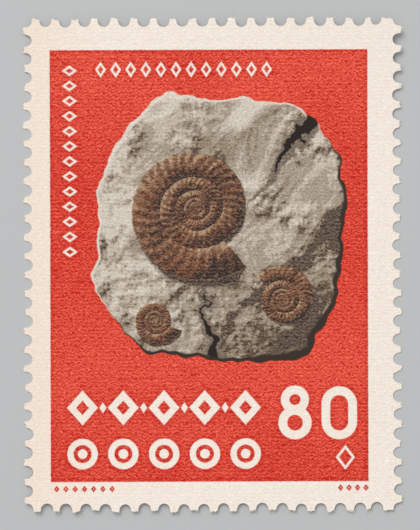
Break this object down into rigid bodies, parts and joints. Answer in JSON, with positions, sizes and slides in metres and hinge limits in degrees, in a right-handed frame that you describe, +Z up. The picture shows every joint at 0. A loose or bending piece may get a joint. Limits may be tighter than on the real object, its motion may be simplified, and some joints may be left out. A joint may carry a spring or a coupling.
{
  "type": "postage stamp",
  "caption": "Upright rectangular postage stamp of gummed, printed paper, perforated all round with torn tooth tips, lying on its back and lifting a little at both ends.",
  "frame": {"origin": "under the middle of the sheet's box, on the flat underside that it rests on", "axes": "+X across the print from left to right, +Y to the print's top, +Z up out of the printed face"},
  "size_m": [0.0338, 0.044, 0.0007],
  "materials": {
    "printed_paper": "uncoated cream-white paper, printed with a vermilion panel and a grey and brown picture, matt, with a smooth gummed back"
  },
  "bodies": {
    "root": {"stamp": "printed_paper"}
  },
  "joints": []
}
